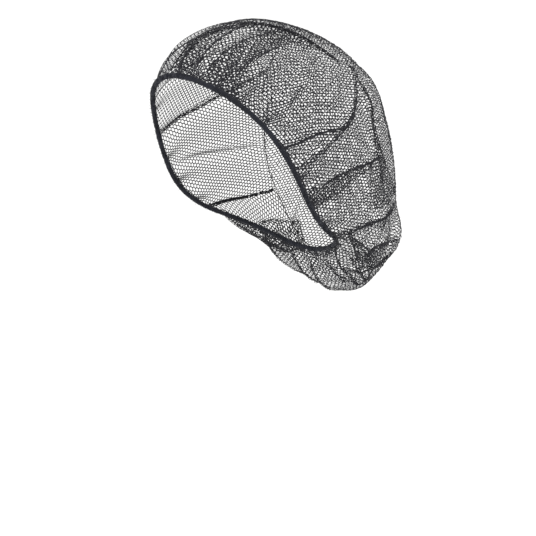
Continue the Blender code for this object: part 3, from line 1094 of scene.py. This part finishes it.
class HAIRNET_OT_elastic(bpy.types.Operator):
    """Makes the covered elastic round the edge"""

    bl_idname = "hairnet.make_elastic"
    bl_label = "Elastic edge"

    def execute(self, context):
        settings = context.scene.hairnet_edge
        turn = np.linspace(0, tau, EDGE_POINTS, endpoint=False)
        path = bpy.data.curves.new("elastic_cover", "CURVE")
        path.dimensions = "3D"
        spline = path.splines.new("POLY")
        spline.points.add(EDGE_POINTS - 1)
        spline.use_cyclic_u = True
        for point, place in zip(spline.points, bare_surface(np.zeros_like(turn), turn)):
            point.co = (*place, 1.0)
        edge = new_object("elastic_cover", path)
        # The elastic's worn colour paints glints, with wear, in slow patches over its dark colour
        finish = thread_material("black_elastic", settings, twist_scale=1400.0, fuzz=0.7, bump=0.6)
        values = {
            "Radius": settings.thickness / 2,
            "Turns of thread": settings.turns,
            "Thread": settings.thread / 2,
            "Fibres": settings.fibres,
            "Fibre length": settings.fibre_length,
            "Fibre thickness": settings.fibre_thickness / 2,
            "Seed": ELASTIC_SEED,
            "Finish": finish,
        }
        run_tree(edge, edge_tree(), values)
        edge = made_plain(edge)
        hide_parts("elastic_edge")
        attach(edge, "root")
        return {"FINISHED"}


def make_floor(settings):
    """The floor and backdrop, square to the camera's way."""
    bend = np.linspace(0, pi / 2, BEND_STEPS)
    profile = [(-STAGE_REACH, 0.0)]
    profile += [(STAGE_BEND_AT + STAGE_BEND * sin(a), STAGE_BEND * (1 - cos(a))) for a in bend]
    profile.append((STAGE_BEND_AT + STAGE_BEND, STAGE_REACH))
    mesh = bmesh.new()
    facing = Matrix.Rotation(radians(CAMERA_TURN), 3, "Z")
    rows = []
    for side in (-STAGE_REACH, STAGE_REACH):
        spots = (Vector((side, away, rise + settings.floor_height)) for away, rise in profile)
        rows.append([mesh.verts.new(facing @ spot) for spot in spots])
    for a, b, c, d in zip(rows[0], rows[1], rows[1][1:], rows[0][1:]):
        mesh.faces.new((a, b, c, d)).smooth = True
    data = bpy.data.meshes.new("studio_floor")
    mesh.to_mesh(data)
    mesh.free()
    data.materials.append(floor_material(settings))
    floor = new_object("studio_floor", data)


def make_lights(scene, settings):
    """Even light from all round, and two soft lamps that face the hairnet."""
    scene.world = bpy.data.worlds.new("Even light")
    scene.world.use_nodes = True
    tree = scene.world.node_tree
    even = {"Color": (1.0, 1.0, 1.0, 1.0), "Strength": settings.room_light}
    fill(tree, tree.nodes["Background"], even)
    for lamp in LAMPS:
        light = bpy.data.lights.new(lamp.name, "AREA")
        light.energy, light.size = getattr(settings, lamp.power), lamp.size
        holder = new_object(lamp.name, light)
        holder.location = lamp.place
        aim = Vector(STAGE_CENTRE) - Vector(lamp.place)
        holder.rotation_euler = aim.to_track_quat("-Z", "Y").to_euler()


def make_camera(scene):
    """The camera, at the photo's angle."""
    lens = bpy.data.cameras.new("Camera")
    lens.lens = CAMERA_LENS
    camera = new_object("Camera", lens)
    camera.location = CAMERA_PLACE
    camera.rotation_euler = (radians(90 + CAMERA_TILT), 0.0, radians(CAMERA_TURN))
    scene.camera = camera


class HAIRNET_OT_stage(bpy.types.Operator):
    """Makes the pale floor and backdrop, the soft lights and the camera"""

    bl_idname = "hairnet.make_stage"
    bl_label = "Stage"

    def execute(self, context):
        scene, settings = context.scene, context.scene.hairnet_stage
        make_floor(settings)
        make_lights(scene, settings)
        make_camera(scene)
        scene.view_settings.view_transform = "Standard"
        return {"FINISHED"}


class HAIRNET_PT_panel(bpy.types.Panel):
    """Lists the hairnet's pieces and their settings"""

    bl_label = "Hairnet"
    bl_idname = "HAIRNET_PT_panel"
    bl_space_type = "VIEW_3D"
    bl_region_type = "UI"
    bl_category = "Hairnet"

    def draw(self, context):
        scene = context.scene
        for operator, settings in zip(OPERATORS, SETTINGS):
            box = self.layout.box()
            box.operator(operator.bl_idname)
            group = getattr(scene, settings[0])
            for name in settings[1].__annotations__:
                box.prop(group, name)


OPERATORS = (HAIRNET_OT_stage, HAIRNET_OT_net, HAIRNET_OT_pleats, HAIRNET_OT_elastic)
SETTINGS = (
    ("hairnet_stage", StageSettings),
    ("hairnet_net", NetSettings),
    ("hairnet_pleats", PleatSettings),
    ("hairnet_edge", EdgeSettings),
)


def register():
    for name, group in SETTINGS:
        bpy.utils.register_class(group)
        setattr(bpy.types.Scene, name, PointerProperty(type=group))
    for item in (*OPERATORS, HAIRNET_PT_panel):
        bpy.utils.register_class(item)


def unregister():
    for item in reversed((*OPERATORS, HAIRNET_PT_panel)):
        bpy.utils.unregister_class(item)
    for name, group in reversed(SETTINGS):
        delattr(bpy.types.Scene, name)
        bpy.utils.unregister_class(group)


def main():
    register()
    bpy.ops.hairnet.make_stage()
    bpy.ops.hairnet.make_net()
    bpy.ops.hairnet.make_pleats()
    bpy.ops.hairnet.make_elastic()


if __name__ == "__main__":
    main()
